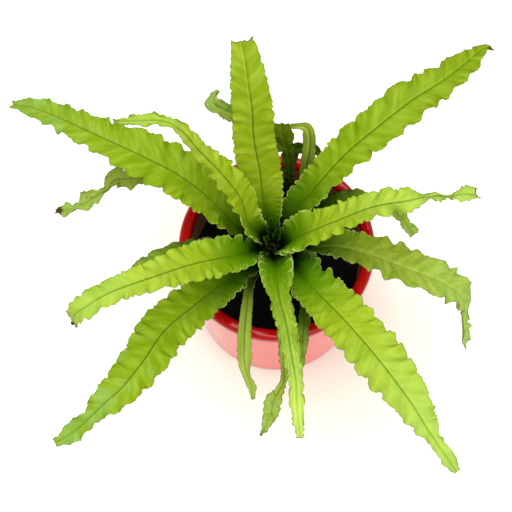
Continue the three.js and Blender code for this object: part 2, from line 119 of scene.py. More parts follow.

# Each frond lies along `azimuth` (degrees from +X) from the crown. A row of its spine is how far out,
# how high, how far to the left, the blade's width and, where it twists, its roll in degrees. `waves`
# counts the waves of its margin, `ruffle` is how far a wave rises, `slant` how far it runs in towards
# the tip, and `scallop` how deep the margin is notched, as a share of its half width. `frill` is the fine
# crimping of the margin near the base, `tooth` the size of its fine teeth, `torn` how ragged the end is
# and `dry` the length of its withered part. `pale` is the share of the tip's own colour and `shade` how
# far the deeper green of the base reaches, a painted shade for the shade among the leaf bases.
# `finish` names the finish where it isn't the slot's own.
FRONDS = {
    "frond_inner_back": dict(
        azimuth=100, waves=18, ruffle=0.8, scallop=0.03, slot="leaf_bright", finish="leaf_olive",
        frill=0.9, tooth=2.6, torn=3.5, dry=0.8, pale=0.9, shade=72, spine=[
            (10, 114, 0, 4), (16, 136, 1, 19), (23, 152, 3, 28), (34.1, 190, 3.1, 31.5),
            (43.2, 224, 5.1, 29.4), (52.9, 249, 4.1, 27.8), (63.3, 264, 4.1, 25), (75.1, 273, 3.8, 20.6),
            (87.7, 278, 4.1, 14.2)]),
    "frond_inner_left_back": dict(
        azimuth=155, waves=13, ruffle=2.4, scallop=0.1, slot="leaf_bright", slant=0.9, frill=1.3,
        tooth=2.4, pale=0.2, shade=70, spine=[
            (8, 118, -2, 4), (13, 140, 0, 15.5), (18, 163, 3.6, 19), (25.3, 193, -0.9, 24),
            (38.3, 220, -2, 19.5), (54.2, 243, -2.3, 13.2), (65.4, 257, -4.3, 9), (77.7, 263, -3.4, 8),
            (92.5, 263, 2.9, 8.5), (110, 256, 8, 2)]),
    "frond_inner_left_front": dict(
        azimuth=-148, waves=19, ruffle=1.8, scallop=0.07, slot="leaf_bright", frill=2.4, tooth=2.0, dry=5,
        pale=0.3, shade=101, spine=[
            (8, 118, 0, 4), (14.6, 136, 0.3, 14), (23.8, 152, 2.8, 20.2), (42.1, 173, 4.1, 28),
            (65.7, 195, 3.6, 29), (95.6, 218, 4.8, 21.5), (123.9, 228, 2.8, 16.7), (142.1, 228, 2.9, 17),
            (151.4, 221, 1.9, 12.9), (154, 210, 4.7, 3.9)]),
    "frond_inner_front": dict(
        azimuth=-84, waves=16, ruffle=2.8, scallop=0.11, slot="leaf_bright", finish="leaf_streaked",
        slant=1.1, frill=2.6, tooth=1.5, pale=0.7, shade=101, spine=[
            (8, 118, -2, 4), (15.1, 136, -0.3, 15), (24.1, 151, 0.1, 21.5), (42.4, 172, -1.2, 20.2),
            (61.7, 190, -1.2, 14.2), (86, 212, 0.3, 12.8), (108.1, 229, 0.7, 11.1), (128, 240, 1.2, 8.7),
            (146, 243, 0, 7.8), (162.6, 238, -0.1, 4.2)]),
    "frond_inner_right": dict(
        azimuth=-8, waves=15, ruffle=2.4, scallop=0.09, slot="leaf_bright", frill=2.4, tooth=2.4, torn=3,
        dry=1.5, pale=0.4, shade=88, spine=[
            (8, 118, -2, 4), (11, 136, -2, 16.5), (16, 155, -4, 25), (26, 177, -5, 27),
            (45, 204, -3.4, 23.3), (67, 227, 0.6, 20.5), (88, 239, 3, 17, 5), (101, 243, 5.9, 3.9, 80),
            (107.3, 243, 7.5, 7.1, 55), (115.2, 242, 8.3, 3.2, 80), (123.7, 240, 12.4, 9.8, 10),
            (133.4, 236, 15.5, 7.9)]),
    "frond_middle_left_back": dict(
        azimuth=157, waves=16, ruffle=2.6, scallop=0.08, slot="leaf", finish="leaf_painted_sheen", frill=0.9,
        tooth=2.4, torn=2.5, pale=0.6, shade=72, spine=[
            (10.5, 113, 0, 4), (30.6, 140, 0.6, 25), (46.5, 160, -2.2, 35), (72.9, 188, -2.4, 37, 4),
            (101.6, 203, -0.6, 37.3, 8), (132.4, 208, -0.6, 27.5, 8), (163.6, 205, -3.5, 21.5, 8),
            (189.1, 200, -5.4, 15.9, 4), (208.6, 193, -4.3, 5.1)]),
    "frond_middle_left_front": dict(
        azimuth=-130, waves=18, ruffle=2.4, scallop=0.07, slot="leaf", finish="leaf_painted_sheen", frill=1.5,
        tooth=2.4, pale=0.6, shade=106, spine=[
            (10.5, 113, 0, 4), (29, 134, -2, 24), (49.8, 148, -3.2, 30), (78.6, 166, -3.9, 32.6),
            (108.7, 182, -3.9, 34.2), (135.6, 196, 2.8, 29.7), (157.6, 202, 5.6, 25.3),
            (172.1, 203, 4.3, 19.9), (185.3, 200, 2.5, 11.6), (198.3, 195, -0.1, 14.2),
            (211.9, 190, -5.9, 5.2)]),
    "frond_middle_right_front": dict(
        azimuth=-56, waves=18, ruffle=2.7, scallop=0.065, slot="leaf", finish="leaf_bright", frill=2.0,
        tooth=2.4, pale=0.45, shade=108, spine=[
            (10.5, 113, 0, 4), (29.1, 142, 0.1, 28), (53.9, 160, -0.8, 33, -4), (91.8, 182, 0, 35.6, -8),
            (128.9, 198, -0.5, 35, -8), (161.1, 204, -1.3, 26, -6), (180.2, 203, -2.4, 16.6, -4),
            (191.3, 201, -2.4, 8.3, -2), (201, 199, -2.2, 10.8), (213, 192, -0.9, 4.5)]),
    "frond_middle_right_back": dict(
        azimuth=36, waves=16, ruffle=2.8, scallop=0.085, slot="leaf", finish="leaf_deep", frill=1.2,
        tooth=2.4, dry=7, pale=0.9, shade=89, spine=[
            (10.5, 113, 2, 4), (21, 138, 5, 22), (35, 157, 6, 25), (65, 191, 6, 28), (94.2, 212, 3.3, 30),
            (121, 222, 2, 30), (148, 226, 0, 23), (173.9, 224, 2.4, 17), (189.7, 221, 4.6, 5.5),
            (196.4, 219, 0.1, 1.2)]),
    "frond_low_right": dict(
        azimuth=-25, waves=14, ruffle=2.8, scallop=0.06, slot="leaf_dark", frill=1.5, tooth=1.8, torn=3.5,
        dry=1.2, pale=0.8, shade=92, spine=[
            (13, 108, 2, 3.5), (36, 148, 7, 16.4), (53.7, 164, 8.7, 23.9, -6),
            (76.5, 175, 8.2, 29.8, -12), (100.4, 180, 7.4, 30.2, -12), (121.8, 178, 9.3, 29.4, -12),
            (139.2, 171, 9.7, 25.4, -8), (148.3, 160, 7.7, 17.2), (150.2, 155, 3.5, 5.7),
            (154.3, 150, -4.5, 14.4), (162.2, 138, -12.4, 11.7)]),
    "frond_low_front_left": dict(
        azimuth=-104, waves=0, ruffle=0, scallop=0, slot="leaf_old", finish="leaf_strap", dry=0.8,
        pale=0.4, shade=60, spine=[
            (12.5, 108, -4, 3.5), (33.9, 128, -8.5, 6.8), (54.6, 143, -5.7, 8.1), (80.5, 158, -0.4, 9.9),
            (100, 166, 5, 10), (111, 169, 10, 6, 50), (117.8, 169, 15, 6, 20), (125.5, 167, 17.8, 2)]),
    "frond_low_front_right": dict(
        azimuth=-68, waves=7, ruffle=1.6, scallop=0.14, slot="leaf_dark", finish="leaf_speckled",
        frill=0.4, pale=0.1, shade=110, spine=[
            (12.5, 108, 0, 3.5), (33.2, 126, 5.6, 6.1), (51.7, 138, 4.2, 7.4), (65.9, 146, -1.2, 8.7),
            (77.3, 153, -7.7, 9.3), (91, 158, -14, 7), (103, 161, -19, 2)]),
    "frond_low_front": dict(
        azimuth=-90, waves=7, ruffle=1.2, scallop=0.1, slot="leaf_old", finish="leaf_speckled", frill=0.5,
        tooth=2.6, dry=2, pale=0.6, shade=90, spine=[
            (12.5, 108, 0, 3.5), (36, 128, 4, 8), (58, 140, 7, 9), (78, 150, 8, 9), (96.7, 158, 8.1, 6.3),
            (111.7, 162, 8.1, 4.9), (119.5, 162.5, 4.6, 6.9), (127.2, 163, 0.5, 12.4),
            (134.4, 161, -0.9, 10.3), (142.2, 158.5, -4.3, 6.2), (149.4, 156, -7.8, 1.4)]),
    "frond_low_back": dict(
        azimuth=82, waves=9, ruffle=2.2, scallop=0.2, slot="leaf_dark", finish="leaf_shaded", tooth=3.4,
        torn=2, pale=0, shade=140, spine=[
            (13, 108, 3, 3.5), (36.6, 132, -2.9, 5), (46.1, 158, -5.9, 7.5), (51.5, 183, -4.1, 9.5),
            (56.6, 201, 0.4, 15.7), (62.5, 209, 2.7, 14.1)]),
    "frond_low_back_narrow": dict(
        azimuth=68, waves=0, ruffle=0, scallop=0, slot="leaf_old", finish="leaf_strap", pale=0.1,
        shade=60, spine=[
            (13, 108, -3.6, 3.5), (38, 130, -7, 5), (52, 156, -5, 8), (58.8, 180, -5, 10.3),
            (64, 196, -3, 10), (67.1, 202, 1.3, 7.1, 30), (64.9, 203, 7.4, 4.3, 40),
            (63.4, 199, 14.4, 3.6, 30)]),
    "frond_low_back_right": dict(
        azimuth=74, waves=5, ruffle=1.4, scallop=0.14, slot="leaf_dark", finish="leaf_shaded", pale=0,
        shade=150, spine=[
            (13, 108, 0, 3.5), (40, 126, -1, 5), (54, 150, 2, 8), (63.8, 162, 2.4, 9.8),
            (67.5, 167, -4.3, 9), (68.2, 167, -12.6, 8.2), (65, 164, -22, 2)]),
    "frond_low_left": dict(
        azimuth=170, waves=12, ruffle=1.8, scallop=0.2, slot="leaf_dark", finish="leaf_speckled",
        frill=0.5, tooth=3.0, dry=9, pale=0.8, shade=55, spine=[
            (13, 108, -1, 3.5), (58, 142, -14, 8), (84, 159, -23, 11), (102, 165, -22, 13),
            (114.2, 167, -18.1, 17.8), (122, 167, -15.9, 16.3, 15), (125.1, 167, -8, 5.9, 30),
            (131, 166, -3.3, 9.6), (139.1, 163, 3.3, 14), (146.6, 161, 7.9, 4.4, 40),
            (151.8, 159, 10.4, 10.4), (162.4, 155, 11.4, 3)]),
    "frond_low_back_left": dict(
        azimuth=115, waves=8, ruffle=1.6, scallop=0.16, slot="leaf_dark", finish="leaf_speckled",
        frill=0.4, tooth=3.0, pale=0.5, shade=140, spine=[
            (13, 108, 0, 3.5), (36, 148, -7, 5), (54, 176, -11, 7), (71, 197, -11, 9),
            (78.5, 205, -3.7, 11), (86.6, 207, 4.1, 10.7), (92.1, 208, 3.9, 8.6), (96.6, 209, -2, 3)]),
    "frond_low_right_back": dict(
        azimuth=10, waves=12, ruffle=1.6, scallop=0.16, slot="leaf_dark", finish="leaf_speckled",
        frill=0.6, tooth=3.4, torn=1.5, pale=0.2, shade=128, spine=[
            (12.5, 108, 4, 3.5), (26, 134, 9, 7), (43, 155, 14, 11), (60, 167, 12, 13),
            (77.9, 171, 3.4, 10.2), (92.3, 168, -7.5, 8), (100.7, 163, -22.9, 8.8)]),
    "frond_low_left_front": dict(
        azimuth=-160, waves=8, ruffle=2, scallop=0.14, slot="leaf_dark", frill=0.4, pale=0.2, shade=120,
        spine=[
            (13, 108, -2, 3.5), (26, 126, -7, 7), (43, 140, -10, 11), (62, 151, -10, 14),
            (82, 159, -8, 14), (99, 163, -4, 10), (113, 164, 0, 2)]),
    "frond_young_back": dict(
        azimuth=100, waves=5, ruffle=1.4, scallop=0.14, slot="leaf_young", pale=0, shade=50, spine=[
            (5, 119, 0, 2.6), (8, 132, -0.5, 6), (9.5, 144, -0.5, 7), (11, 156, -0.5, 2)]),
    "frond_young_right": dict(
        azimuth=50, waves=4, ruffle=1.2, scallop=0.14, slot="leaf_young", pale=0, shade=50, spine=[
            (4, 119, 0, 2.6), (4.5, 131, 0, 5), (6, 141, 0, 6), (8, 149, 0, 2)]),
    "frond_young_left": dict(
        azimuth=178, waves=4, ruffle=1.2, scallop=0.14, slot="leaf_young", pale=0, shade=50, spine=[
            (4, 119, 0, 2.6), (4, 129, 0, 5), (5, 138, 0, 5), (6.5, 145, 0, 2)]),
}


# Kinds of node. A range takes a value, the two ends it comes from and the two ends it goes to; a noise
# takes where, its scale, its detail and its roughness.
RANGE = "ShaderNodeMapRange"
NOISE = "ShaderNodeTexNoise"
MIX = "ShaderNodeMix"
SPLIT = "ShaderNodeSeparateXYZ"
JOIN = "ShaderNodeCombineXYZ"
VECTOR = "ShaderNodeVectorMath"
RANDOM = "FunctionNodeRandomValue"
BUMP = "ShaderNodeBump"
SURFACE = "ShaderNodeBsdfPrincipled"
OUTPUT = "ShaderNodeOutputMaterial"
STORE = "GeometryNodeStoreNamedAttribute"
READ = "GeometryNodeInputNamedAttribute"
STREW = "GeometryNodeInstanceOnPoints"
FULL_TURN = (6.28, 6.28, 6.28)


def add(tree, kind, *values, **settings):
    """Adds a node with its settings. A kind in capitals is an operation of the Math node. Values go to
    the inputs that the node shows, in order, and those in a dict go by name. A value is a plain one, an
    output of another node, or a node, which stands for the first output that it shows."""
    if kind.isupper():
        kind, settings = "ShaderNodeMath", {"operation": kind}
    made = tree.nodes.new(kind)
    for name, setting in settings.items():
        setattr(made, name, setting)
    shown = [socket for socket in made.inputs if socket.enabled]
    for place, value in enumerate(values):
        for key, item in value.items() if isinstance(value, dict) else [(place, value)]:
            socket = made.inputs[key] if isinstance(key, str) else shown[key]
            if isinstance(item, bpy.types.Node):
                item = next(output for output in item.outputs if output.enabled)
            if isinstance(item, bpy.types.NodeSocket):
                tree.links.new(item, socket)
            else:
                socket.default_value = item
    return made


def begin_tree(name, *numbers):
    """A geometry node tree with a shape, the named numbers, a seed and a finish as its inputs."""
    tree = bpy.data.node_groups.new(name, "GeometryNodeTree")
    tree.interface.new_socket("Shape", in_out="INPUT", socket_type="NodeSocketGeometry")
    for number in numbers:
        tree.interface.new_socket(number, in_out="INPUT", socket_type="NodeSocketFloat")
    tree.interface.new_socket("Seed", in_out="INPUT", socket_type="NodeSocketInt")
    tree.interface.new_socket("Finish", in_out="INPUT", socket_type="NodeSocketMaterial")
    tree.interface.new_socket("Shape", in_out="OUTPUT", socket_type="NodeSocketGeometry")
    node = partial(add, tree)
    return tree, node, node("NodeGroupInput").outputs


def end_tree(node, shape, given):
    """Ends a tree with real faces in the finish it was given."""
    real = node("GeometryNodeRealizeInstances", shape)
    node("NodeGroupOutput", node("GeometryNodeSetMaterial", {"Geometry": real, "Material": given["Finish"]}))


def put(name, data):
    """An object of that name in the scene, unturned at the origin."""
    made = bpy.data.objects.new(name, data)
    bpy.context.scene.collection.objects.link(made)
    return made


def linear(colour):
    """An sRGB hex colour as the linear values, with full alpha, that Blender's sockets take."""
    parts = [((colour >> shift) & 255) / 255 for shift in (16, 8, 0)]
    return [c / 12.92 if c <= 0.04045 else ((c + 0.055) / 1.055) ** 2.4 for c in parts] + [1.0]


def smooth(x):
    x = np.clip(x, 0, 1)
    return x * x * (3 - 2 * x)


# Camera, light and floor

def make_camera():
    camera = put("camera", bpy.data.cameras.new("camera"))
    camera.location = Vector(CAMERA_PLACE) * MM
    camera.rotation_euler = (math.radians(90 - CAMERA_DOWN), 0, 0)
    camera.data.lens = CAMERA_LENS
    camera.data.sensor_width = 36
    camera.data.shift_x = CAMERA_SHIFT
    camera.data.clip_start = 0.01
    bpy.context.scene.camera = camera


def make_softbox(name, place, size, watts, colour):
    """A square light at `place` (mm) that faces the plant."""
    light = bpy.data.lights.new(name, "AREA")
    light.shape = "SQUARE"
    light.size = size * MM
    light.energy = watts
    light.color = linear(colour)[:3]
    holder = put(name, light)
    holder.location = Vector(place) * MM
    aim = Vector((0, 0, LIGHTS_AIM * MM)) - holder.location
    holder.rotation_mode = "QUATERNION"
    holder.rotation_quaternion = aim.to_track_quat("-Z", "Y")


def make_studio():
    bpy.context.scene.view_settings.view_transform = "Standard"
    world = bpy.data.worlds.new("pale_room")
    world.use_nodes = True
    sky = world.node_tree.nodes["Background"]
    sky.inputs["Color"].default_value = linear(SKY_COLOUR)
    sky.inputs["Strength"].default_value = SKY_STRENGTH
    bpy.context.scene.world = world
    for name, light in LIGHTS.items():
        make_softbox(name, **light)


def make_floor():
    material, node = make_material("table_white_laminate")  # matt white board, plain and pale
    node(OUTPUT, node(SURFACE, {"Base Color": linear(0xF2F5EB), "Roughness": 0.6}))
    mesh = bpy.data.meshes.new("floor")
    half = FLOOR_HALF * MM
    corners = [(x * half, y * half, 0) for x, y in ((-1, -1), (1, -1), (1, 1), (-1, 1))]
    mesh.from_pydata(corners, [], [(0, 1, 2, 3)])
    mesh.materials.append(material)
    put("floor", mesh)


# Pieces

def settle(piece, slot, solid=None):
    """The piece moves with the one body, and may stand for a CAD node, which is then hidden. `slot` is not
    used.
    """
    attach(piece, "root")
    if solid:
        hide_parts(solid)


def grow(piece, tree, **sizes):
    """Runs a node tree on the piece with the named sizes, and keeps the plain mesh that comes out."""
    modifier = piece.modifiers.new("grow", "NODES")
    modifier.node_group = tree
    for item in tree.interface.items_tree:
        if item.name in sizes:
            modifier[item.identifier] = sizes[item.name]
    graph = bpy.context.evaluated_depsgraph_get()
    mesh = bpy.data.meshes.new_from_object(
        piece.evaluated_get(graph), preserve_all_data_layers=True, depsgraph=graph)
    piece.modifiers.clear()
    piece.data = mesh
    mesh.name = piece.name


# Fronds

def through(rows, u):
    """Catmull-Rom curve through rows of numbers, at an array u of places from 0 to 1."""
    rows = np.array(rows, float)
    padded = np.vstack([2 * rows[0] - rows[1], rows, 2 * rows[-1] - rows[-2]])
    last = len(rows) - 1
    i = np.minimum((u * last).astype(int), last - 1)
    f = (u * last - i)[:, None]
    a, b, c, d = (padded[i + k] for k in range(4))
    return b + 0.5 * f * (c - a + f * (2 * a - 5 * b + 4 * c - d + f * (3 * (b - c) + d - a)))


def unit(vectors):
    return vectors / np.linalg.norm(vectors, axis=-1, keepdims=True)


def spine_rows(azimuth, spine):
    """The spine at even steps: places (mm), its directions along, across and up, widths, and its length."""
    turn = math.radians(azimuth)
    out = np.array([math.cos(turn), math.sin(turn), 0])
    left = np.array([-math.sin(turn), math.cos(turn), 0])
    fine = through([(*row, 0)[:5] for row in spine], np.linspace(0, 1, 4 * CURVE_STEPS + 1))
    place = np.array([CROWN_X, CROWN_Y, 0]) + fine[:, :1] * out + fine[:, 2:3] * left
    place[:, 2] = fine[:, 1]
    run = np.concatenate([[0], np.cumsum(np.linalg.norm(np.diff(place, axis=0), axis=1))])
    even = np.linspace(0, run[-1], CURVE_STEPS + 1)
    rows = np.column_stack([place, fine[:, 3:5]])
    rows = np.column_stack([np.interp(even, run, column) for column in rows.T])
    spot = rows[:, :3]
    ahead = unit(np.vstack([spot[1] - spot[0], spot[2:] - spot[:-2], spot[-1] - spot[-2]]))
    side = np.empty_like(ahead)
    carried = left
    for i, forward in enumerate(ahead):
        carried = carried - forward * (carried @ forward)
        carried = carried / np.linalg.norm(carried)
        side[i] = carried
    roll = np.radians(rows[:, 4:5])
    side = side * np.cos(roll) + np.cross(ahead, side) * np.sin(roll)
    return spot, ahead, side, np.cross(ahead, side), rows[:, 3], run[-1]


def make_spine(name, frond):
    """The line of points a blade grows along, each with what the blade does there, and its length (mm)."""
    place, ahead, side, rise, width, length = spine_rows(frond["azimuth"], frond["spine"])
    count = int(length / STATION_SPACING)
    t = np.linspace(0, 1, count)
    steps = np.linspace(0, 1, CURVE_STEPS + 1)
    place, ahead, side, rise = (
        np.column_stack([np.interp(t, steps, column) for column in table.T])
        for table in (place, ahead, side, rise))
    width = np.interp(t, steps, width)
    x = np.clip((t - STALK_SHARE) / (1 - STALK_SHARE), 0, 1)
    size = smooth(x / 0.12) * (1 - 0.65 * smooth((x - 0.7) / 0.3))
    notch = smooth(x / 0.1) * (1 + 0.3 * smooth((x - 0.5) / 0.4))
    crimped = smooth(t / 0.06) * (1 - 0.8 * smooth((x - 0.1) / 0.35))
    stalk = 1 - smooth((t - 0.02) / 0.25)
    fold = np.radians(BASE_FOLD + (OPEN_FOLD - BASE_FOLD) * smooth((t - 0.08) / 0.4))
    rib = (RIB_THICKNESS - 0.5 * smooth((t - 0.5) / 0.5)) * (1 - stalk) + STALK_THICKNESS * stalk
    margin = MARGIN_THICKNESS + (STALK_THICKNESS * 0.7 - MARGIN_THICKNESS) * stalk**2
    ends = np.minimum(smooth(t * length / 1.5), smooth((1 - t) * length / 1.5))
    values = {
        "spine_share": t,
        "spine_run": t * length * MM,
        "spine_half": width / 2 * MM,
        "spine_cos": np.cos(fold),
        "spine_sin": np.sin(fold),
        "spine_cycle": frond["waves"] * x**CROWDING,
        "spine_wave": frond["ruffle"] * size * (0.55 + 0.7 * smooth((t - 0.15) / 0.4)) * MM,
        "spine_scallop": frond["scallop"] * notch,
        "spine_frill": frond.get("frill", 0.25) * crimped * MM,
        "spine_rib": rib * ends * MM,
        "spine_margin": margin * ends * MM,
    }
    vectors = {"spine_place": place * MM, "spine_ahead": ahead, "spine_side": side, "spine_rise": rise}
    mesh = bpy.data.meshes.new(name)
    mesh.from_pydata((place * MM).tolist(), [(i, i + 1) for i in range(count - 1)], [])
    for key, numbers in values.items():
        mesh.attributes.new(key, "FLOAT", "POINT").data.foreach_set("value", numbers.astype(np.float32))
    for key, table in vectors.items():
        mesh.attributes.new(key, "FLOAT_VECTOR", "POINT").data.foreach_set(
            "vector", table.astype(np.float32).ravel())
    return put(name, mesh), length


def blade_tree():
    """Sweeps a thin closed section along a spine, waves its margins and marks it for the leaf's colours."""
    tree, node, given = begin_tree(
        "fern_blade", "Columns", "Frills", "Slant", "Curl", "Bulge", "Unevenness", "Wander", "Lean",
        "Tooth", "Teeth", "Torn", "Dry", "Pale", "Shade")

    # Section: a ring of points, the first half of it on top and the second underneath
    points = node("MULTIPLY", given["Columns"], 2)
    ring = node("GeometryNodeCurvePrimitiveCircle", {"Resolution": points, "Radius": MM})
    place_in_ring = node("DIVIDE", node("GeometryNodeInputIndex"), points)
    ring = node(STORE, {"Geometry": ring, "Name": "ring_place", "Value": place_in_ring})
    spine = node("GeometryNodeMeshToCurve", {"Mesh": given["Shape"]})
    swept = node("GeometryNodeCurveToMesh", {"Curve": spine, "Profile Curve": ring})

    read = {}
    for name in ("share", "run", "half", "cos", "sin", "cycle", "wave", "scallop", "frill", "rib", "margin"):
        read[name] = node(READ, f"spine_{name}")
    for name in ("place", "ahead", "side", "rise"):
        read[name] = node(READ, f"spine_{name}", data_type="FLOAT_VECTOR")
    round_ring = node(READ, "ring_place")

    # Where a point is across the blade: 1 at the left margin, 0 on the midrib, -1 at the right margin
    across = node("SUBTRACT", node("ABSOLUTE", node("MULTIPLY_ADD", round_ring, 4, -2)), 1)
    under = node("GREATER_THAN", round_ring, 0.5)
    sign = node("SIGN", across)
    even = node("ABSOLUTE", across)
    turn = node("SINE", node("MULTIPLY", even, math.tau))
    out = node("MULTIPLY_ADD", turn, -0.5 / math.tau, even)

    # Waves of the margin: the right side a quarter wave behind the left, and none quite like the next
    cycle = node("MULTIPLY_ADD", node("LESS_THAN", across, 0), 0.25, read["cycle"])
    stride = node("MULTIPLY_ADD", sign, 17.0, given["Seed"])
    stride = node("MULTIPLY_ADD", read["run"], 1 / (WAVE_DRIFT * MM), stride)
    stride = node("SUBTRACT", node(NOISE, stride, 1.0, 1.0, noise_dimensions="1D"), 0.5)
    cycle = node("MULTIPLY_ADD", stride, given["Wander"], cycle)
    drift = node("SINE", node("MULTIPLY_ADD", cycle, 1.9, node("MULTIPLY_ADD", given["Seed"], 1.3, sign)))
    uneven = node("MULTIPLY_ADD", drift, 0.25, 0.8)
    strength = node("MULTIPLY_ADD", node(NOISE, cycle, 0.6, 1.0, noise_dimensions="1D"), 2.8, -0.5)
    strength = node("MINIMUM", node("MAXIMUM", strength, 0.15), 1.25)
    inward = node("SUBTRACT", 1, out)
    crest = node("MULTIPLY_ADD", inward, given["Slant"], cycle)
    crest = node("SINE", node("MULTIPLY", crest, math.tau))
    reach_up = node("POWER", out, node(RANGE, read["share"], 0.12, 0.5, 4.0, 2.0))
    wave = read["wave"]
    for part in (uneven, strength, reach_up, crest):
        wave = node("MULTIPLY", wave, part)

    # Fine frills and the curled lip of the margin
    near_edge = node("POWER", out, 5.0)
    frill = node("MULTIPLY_ADD", stride, 5.0, given["Seed"])
    frill = node("MULTIPLY_ADD", read["run"], given["Frills"], frill)
    ripple = node("MULTIPLY", node("SINE", node("MULTIPLY", frill, math.tau)), read["frill"])
    tuft = node("ABSOLUTE", node("SINE", node("MULTIPLY", frill, math.pi)))
    tuft = node("MULTIPLY", node("MULTIPLY_ADD", tuft, 2.4, -1.3), read["frill"])
    lip = node("MULTIPLY", node("POWER", out, 12.0), given["Curl"])
    wave = node("ADD", node("MULTIPLY_ADD", ripple, near_edge, wave), lip)

    # Scalloped reach of the section: round lobes that lean to the tip, with a sharp notch after each
    lobe = node("MULTIPLY", node("POWER", node("FRACT", cycle), given["Lean"]), math.pi)
    lobe = node("MULTIPLY_ADD", node("SINE", lobe), 2.0, -1.25)
    swing = node("MULTIPLY", node("MULTIPLY", lobe, strength), read["scallop"])
    swing = node("MULTIPLY_ADD", swing, out, 1)
    reach = node("MULTIPLY", node("MULTIPLY", read["half"], out), swing)

    # Fine teeth between the notches
    teeth = node("MULTIPLY_ADD", sign, 29.0, given["Seed"])
    teeth = node("MULTIPLY_ADD", read["run"], given["Teeth"], teeth)
    teeth = node("SUBTRACT", node(NOISE, teeth, 1.0, 1.5, noise_dimensions="1D"), 0.5)
    teeth = node("MULTIPLY_ADD", tuft, 1.0, node("MULTIPLY", teeth, given["Tooth"]))
    reach = node("MAXIMUM", node("MULTIPLY_ADD", teeth, near_edge, reach), 0)
    sideways = node("MULTIPLY", node("MULTIPLY", reach, read["cos"]), sign)
    arch = node("MULTIPLY_ADD", inward, given["Bulge"], 1)
    height = node("MULTIPLY_ADD", node("MULTIPLY", reach, read["sin"]), arch, wave)

    # Slow bumps that no two blades share
    sheet = node(JOIN, read["run"], sideways)
    lumps = node("SUBTRACT", node(NOISE, sheet, given["Seed"], 55.0, 1.0, noise_dimensions="4D"), 0.5)
    height = node("MULTIPLY_ADD", node("MULTIPLY", lumps, given["Unevenness"]), out, height)

    # Midrib: raised near the base and sunk further out, with a keel underneath; the margin is rounded off
    near_rib = node(RANGE, reach, 0, 1.3 * MM, 1, 0, interpolation_type="SMOOTHSTEP")
    groove = node(RANGE, read["share"], 0.15, 0.5, 0.35 * MM, -0.45 * MM)
    height = node("MULTIPLY_ADD", near_rib, groove, height)
    keel = node(RANGE, reach, 0, 2.2 * MM, 1, 0, interpolation_type="SMOOTHSTEP")
    more = node("SUBTRACT", read["rib"], read["margin"])
    thickness = node("MULTIPLY_ADD", keel, more, read["margin"])
    rounding = node("POWER", node(RANGE, out, 0.9, 1, 1, 0), 0.5)
    thickness = node("MULTIPLY", node("MULTIPLY", thickness, rounding), under)
    height = node("SUBTRACT", height, thickness)

    # A torn end: strips of the blade run on past the spine or stop short of its end
    strip = node(NOISE, node("MULTIPLY_ADD", across, 2.6, given["Seed"]), 1.0, 2.0, noise_dimensions="1D")
    corner = node("MULTIPLY_ADD", near_edge, 0.6, node("SUBTRACT", strip, 0.55))
    at_end = node(RANGE, read["share"], 0.94, 1)
    torn = node("MULTIPLY", node("MULTIPLY", at_end, given["Torn"]), corner)

    spot = node(VECTOR, read["side"], sideways, operation="SCALE")
    lifted = node(VECTOR, read["rise"], height, operation="SCALE")
    pulled = node(VECTOR, read["ahead"], torn, operation="SCALE")
    spot = node(VECTOR, node(VECTOR, spot, lifted, operation="ADD"), pulled, operation="ADD")
    spot = node(VECTOR, spot, read["place"], operation="ADD")

    # Marks for the finish: where a point is on the blade, and how withered it is there
    on_blade = node(JOIN, read["run"], node("MULTIPLY", reach, sign), given["Seed"])
    withered = node(RANGE, node("SUBTRACT", 1, read["share"]), 0, given["Dry"], 1, 0)
    state = node(JOIN, read["share"], out, withered)
    look = node(JOIN, under, given["Pale"], given["Shade"])
    blade = swept
    for name, mark in (("on_blade", on_blade), ("blade_state", state), ("blade_look", look)):
        blade = node(STORE, {"Geometry": blade, "Name": name, "Value": mark}, data_type="FLOAT_VECTOR")
    blade = node("GeometryNodeSetPosition", {"Geometry": blade, "Position": spot})
    blade = node("GeometryNodeRemoveAttribute", blade, {"Name": "spine_*"}, pattern_mode="WILDCARD")
    blade = node("GeometryNodeMergeByDistance", {"Geometry": blade, "Distance": 1e-6})
    end_tree(node, node("GeometryNodeSetShadeSmooth", blade), given)
    return tree


def make_fronds(finishes):
    tree = blade_tree()
    for seed, (name, frond) in enumerate(FRONDS.items(), 1):
        blade, length = make_spine(name + "_leaf", frond)
        widest = max(row[3] for row in frond["spine"])
        grow(blade, tree, Seed=seed, Curl=CURL * MM, Bulge=0.35, Wander=1.2, Lean=1.3,
             Columns=NARROW_COLUMNS if widest <= NARROW else BLADE_COLUMNS,
             Slant=frond.get("slant", 0.45),
             Unevenness=0.16 * widest * MM,
             Frills=1 / (FRILL_SPACING * MM),
             Teeth=1 / (TOOTH_SPACING * MM),
             Tooth=frond.get("tooth", 1.6) * MM,
             Torn=frond.get("torn", 0) * MM,
             Dry=max(frond.get("dry", 0.4), 0.4) / length,
             Pale=float(frond["pale"]),
             Shade=frond["shade"] * MM,
             Finish=finishes[frond.get("finish", frond["slot"])])
        settle(blade, frond["slot"], name)


# Finishes

def make_material(name):
    """A new material without nodes, and `add` bound to its node tree."""
    material = bpy.data.materials.new(name)
    material.use_nodes = True
    material.node_tree.nodes.clear()
    return material, partial(add, material.node_tree)


